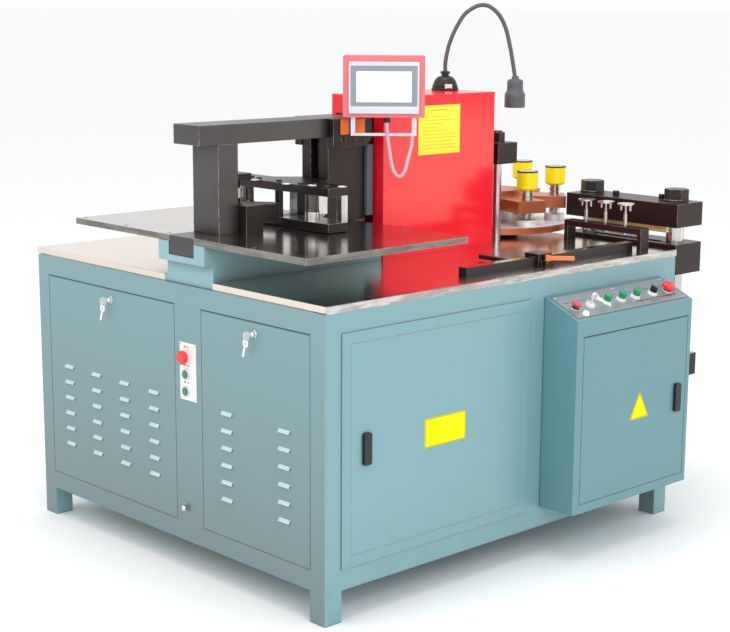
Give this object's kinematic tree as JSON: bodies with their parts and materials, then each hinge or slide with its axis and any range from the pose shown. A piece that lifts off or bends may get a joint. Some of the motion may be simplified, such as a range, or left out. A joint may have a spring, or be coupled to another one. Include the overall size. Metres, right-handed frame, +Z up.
{
  "type": "busbar processing machine",
  "caption": "Hydraulic busbar machine with bending ram and dies, turret punch, side shear, touch screen, work lamp, gauge rail and clamp bridge on a cabinet.",
  "frame": {"origin": "middle of the machine's outer box, on the floor under the feet", "axes": "+X to the right along the front, +Y to the back, +Z up"},
  "size_m": [1.7296, 1.5234, 1.6394],
  "materials": {
    "cabinet_paint": "satin teal grey paint",
    "worktop_steel": "ground steel, oiled",
    "black_oxide": "black oxide with a brown tint",
    "base_paint": "satin light blue-green paint",
    "red_paint": "gloss red paint",
    "turret_steel": "copper-brown finish, machined faces",
    "spring_yellow": "yellow enamel with a steel neck",
    "bright_steel": "machined",
    "black_plastic": "matt",
    "red_plastic": "gloss",
    "green_plastic": "gloss",
    "orange_plastic": "gloss",
    "white_enamel": "white enamel",
    "panel_grey": "satin grey",
    "housing_red": "dull red paint",
    "cable_grey": "grey spiral sheath",
    "lamp_grey": "satin grey",
    "brass_lock": "bright plated",
    "blade_steel": "ground, pale yellow",
    "switchgear": "grey switchgear on a zinc plate",
    "tank_paint": "grey paint"
  },
  "bodies": {
    "cabinet": {"cabinet_frame": "cabinet_paint", "worktop": "worktop_steel", "side_button_plate": "white_enamel", "tool_box": "cabinet_paint", "control_box": "cabinet_paint", "control_panel_plate": "panel_grey", "bending_base": "base_paint", "lower_tie_beam": "black_oxide", "upper_tie_beam": "black_oxide", "outer_upright": "black_oxide", "cylinder_head": "black_oxide", "cheek_plates": "black_oxide", "bending_cylinder": "tank_paint", "fixed_die": "black_oxide", "right_table": "worktop_steel", "left_table": "worktop_steel", "red_cover": "red_paint", "lamp_base": "black_plastic", "punch_bed": "black_oxide", "shear_bed": "black_oxide", "clamp_bridge": "black_oxide", "gauge_rail": "bright_steel", "hydraulic_unit": "tank_paint"},
    "front_panel": {"left_panel_front": "cabinet_paint"},
    "rear_panel": {"left_panel_rear": "cabinet_paint"},
    "front_lock": {"panel_lock_front": "brass_lock"},
    "rear_lock": {"panel_lock_rear": "brass_lock"},
    "side_stop": {"side_stop_button": "red_plastic"},
    "side_upper": {"side_button_upper": "green_plastic"},
    "side_lower": {"side_button_lower": "green_plastic"},
    "tool_door": {"tool_box_door": "cabinet_paint"},
    "tool_latch": {"tool_box_latch": "black_plastic"},
    "control_door": {"control_box_door": "cabinet_paint"},
    "control_latch": {"control_box_latch": "black_plastic"},
    "red_push": {"red_button": "red_plastic"},
    "key": {"key_switch": "brass_lock"},
    "green_left": {"green_button_left": "green_plastic"},
    "green_middle": {"green_button_middle": "green_plastic"},
    "green_right": {"green_button_right": "green_plastic"},
    "selector": {"selector_switch": "black_plastic"},
    "stop_push": {"emergency_stop": "red_plastic"},
    "ram": {"bending_ram": "black_oxide"},
    "screen": {"hmi_housing": "housing_red", "hmi_cable": "cable_grey"},
    "lamp": {"lamp_neck": "lamp_grey"},
    "punch_press": {"punch_crosshead": "black_oxide"},
    "turret": {"turret": "turret_steel"},
    "shear_press": {"shear_crosshead": "black_oxide", "shear_blade": "blade_steel"},
    "clamp_1": {"clamp_screw_1": "bright_steel"},
    "clamp_2": {"clamp_screw_2": "bright_steel"},
    "clamp_3": {"clamp_screw_3": "bright_steel"},
    "slider": {"gauge_slider": "black_oxide"},
    "lever": {"gauge_lever": "orange_plastic"},
    "punch_1": {"punch_1": "spring_yellow"},
    "punch_2": {"punch_2": "spring_yellow"},
    "punch_3": {"punch_3": "spring_yellow"},
    "punch_4": {"punch_4": "spring_yellow"},
    "punch_5": {"punch_5": "spring_yellow"},
    "punch_6": {"punch_6": "spring_yellow"}
  },
  "joints": [
    {"name": "front_panel_tilt", "type": "hinge", "parent": "cabinet", "child": "front_panel", "pos_m": [-0.8292, -0.33335, 0.1493], "axis": [0, -1, 0], "range_deg": [0, 60]},
    {"name": "rear_panel_tilt", "type": "hinge", "parent": "cabinet", "child": "rear_panel", "pos_m": [-0.8292, 0.35665, 0.1493], "axis": [0, -1, 0], "range_deg": [0, 60]},
    {"name": "front_lock_turn", "type": "hinge", "parent": "front_panel", "child": "front_lock", "pos_m": [-0.8292, -0.33235, 0.756], "axis": [-1, 0, 0], "range_deg": [-90, 0]},
    {"name": "rear_lock_turn", "type": "hinge", "parent": "rear_panel", "child": "rear_lock", "pos_m": [-0.8292, 0.35065, 0.756], "axis": [-1, 0, 0], "range_deg": [-90, 0]},
    {"name": "side_stop_press", "type": "slide", "parent": "cabinet", "child": "side_stop", "axis": [1, 0, 0], "range_m": [0, 0.0055]},
    {"name": "side_upper_press", "type": "slide", "parent": "cabinet", "child": "side_upper", "axis": [1, 0, 0], "range_m": [0, 0.004], "stiffness_N_per_m": 500, "springref_m": -0.002},
    {"name": "side_lower_press", "type": "slide", "parent": "cabinet", "child": "side_lower", "axis": [1, 0, 0], "range_m": [0, 0.004], "stiffness_N_per_m": 500, "springref_m": -0.002},
    {"name": "tool_door_swing", "type": "hinge", "parent": "cabinet", "child": "tool_door", "pos_m": [-0.0612, -0.62635, 0.4715], "axis": [0, 0, 1], "range_deg": [0, 90]},
    {"name": "tool_latch_turn", "type": "hinge", "parent": "tool_door", "child": "tool_latch", "pos_m": [-0.6847, -0.62635, 0.4695], "axis": [0, -1, 0], "range_deg": [-90, 0]},
    {"name": "control_door_swing", "type": "hinge", "parent": "cabinet", "child": "control_door", "pos_m": [0.0678, -0.75135, 0.433], "axis": [0, 0, -1], "range_deg": [0, 90]},
    {"name": "control_latch_turn", "type": "hinge", "parent": "control_door", "child": "control_latch", "pos_m": [0.5268, -0.75135, 0.4335], "axis": [0, 1, 0], "range_deg": [-90, 0]},
    {"name": "red_button_press", "type": "slide", "parent": "cabinet", "child": "red_push", "axis": [0, 0.4008, -0.9162], "range_m": [0, 0.005], "stiffness_N_per_m": 500, "springref_m": -0.002},
    {"name": "key_turn", "type": "hinge", "parent": "cabinet", "child": "key", "pos_m": [0.1518, -0.69847, 0.76213], "axis": [0, -0.4008, 0.9162], "range_deg": [0, 90]},
    {"name": "green_left_press", "type": "slide", "parent": "cabinet", "child": "green_left", "axis": [0, 0.4008, -0.9162], "range_m": [0, 0.004], "stiffness_N_per_m": 500, "springref_m": -0.002},
    {"name": "green_middle_press", "type": "slide", "parent": "cabinet", "child": "green_middle", "axis": [0, 0.4008, -0.9162], "range_m": [0, 0.004], "stiffness_N_per_m": 500, "springref_m": -0.002},
    {"name": "green_right_press", "type": "slide", "parent": "cabinet", "child": "green_right", "axis": [0, 0.4008, -0.9162], "range_m": [0, 0.004], "stiffness_N_per_m": 500, "springref_m": -0.002},
    {"name": "selector_turn", "type": "hinge", "parent": "cabinet", "child": "selector", "pos_m": [0.4528, -0.69847, 0.76213], "axis": [0, -0.4008, 0.9162], "range_deg": [-45, 45]},
    {"name": "emergency_stop_press", "type": "slide", "parent": "cabinet", "child": "stop_push", "axis": [0, 0.4008, -0.9162], "range_m": [0, 0.006]},
    {"name": "ram_stroke", "type": "slide", "parent": "cabinet", "child": "ram", "axis": [-1, 0, 0], "range_m": [0, 0.1]},
    {"name": "screen_swivel", "type": "hinge", "parent": "cabinet", "child": "screen", "pos_m": [-0.1982, -0.17635, 1.33], "axis": [0, 0, 1], "range_deg": [-5, 50]},
    {"name": "lamp_swivel", "type": "hinge", "parent": "cabinet", "child": "lamp", "pos_m": [0.2678, 0.02165, 1.42], "axis": [0, 0, 1], "range_deg": [-45, 90]},
    {"name": "punch_stroke", "type": "slide", "parent": "cabinet", "child": "punch_press", "axis": [0, 0, -1], "range_m": [0, 0.035]},
    {"name": "turret_index", "type": "hinge", "parent": "cabinet", "child": "turret", "pos_m": [0.6028, 0.10165, 0.93], "axis": [0, 0, 1], "continuous": true},
    {"name": "shear_stroke", "type": "slide", "parent": "cabinet", "child": "shear_press", "axis": [0, 0, -1], "range_m": [0, 0.05]},
    {"name": "clamp_1_down", "type": "slide", "parent": "cabinet", "child": "clamp_1", "axis": [0, 0, -1], "range_m": [0, 0.033]},
    {"name": "clamp_2_down", "type": "slide", "parent": "cabinet", "child": "clamp_2", "axis": [0, 0, -1], "range_m": [0, 0.033]},
    {"name": "clamp_3_down", "type": "slide", "parent": "cabinet", "child": "clamp_3", "axis": [0, 0, -1], "range_m": [0, 0.033]},
    {"name": "gauge_slide", "type": "slide", "parent": "cabinet", "child": "slider", "axis": [1, 0, 0], "range_m": [-0.22, 0.34]},
    {"name": "gauge_lever_turn", "type": "hinge", "parent": "slider", "child": "lever", "pos_m": [0.1258, -0.55435, 0.89], "axis": [0, 0, -1], "range_deg": [0, 90]},
    {"name": "punch_1_down", "type": "slide", "parent": "turret", "child": "punch_1", "axis": [0, 0, -1], "range_m": [0, 0.02], "stiffness_N_per_m": 2000, "springref_m": -0.02},
    {"name": "punch_2_down", "type": "slide", "parent": "turret", "child": "punch_2", "axis": [0, 0, -1], "range_m": [0, 0.02], "stiffness_N_per_m": 2000, "springref_m": -0.02},
    {"name": "punch_3_down", "type": "slide", "parent": "turret", "child": "punch_3", "axis": [0, 0, -1], "range_m": [0, 0.02], "stiffness_N_per_m": 2000, "springref_m": -0.02},
    {"name": "punch_4_down", "type": "slide", "parent": "turret", "child": "punch_4", "axis": [0, 0, -1], "range_m": [0, 0.02], "stiffness_N_per_m": 2000, "springref_m": -0.02},
    {"name": "punch_5_down", "type": "slide", "parent": "turret", "child": "punch_5", "axis": [0, 0, -1], "range_m": [0, 0.02], "stiffness_N_per_m": 2000, "springref_m": -0.02},
    {"name": "punch_6_down", "type": "slide", "parent": "turret", "child": "punch_6", "axis": [0, 0, -1], "range_m": [0, 0.02], "stiffness_N_per_m": 2000, "springref_m": -0.02}
  ]
}
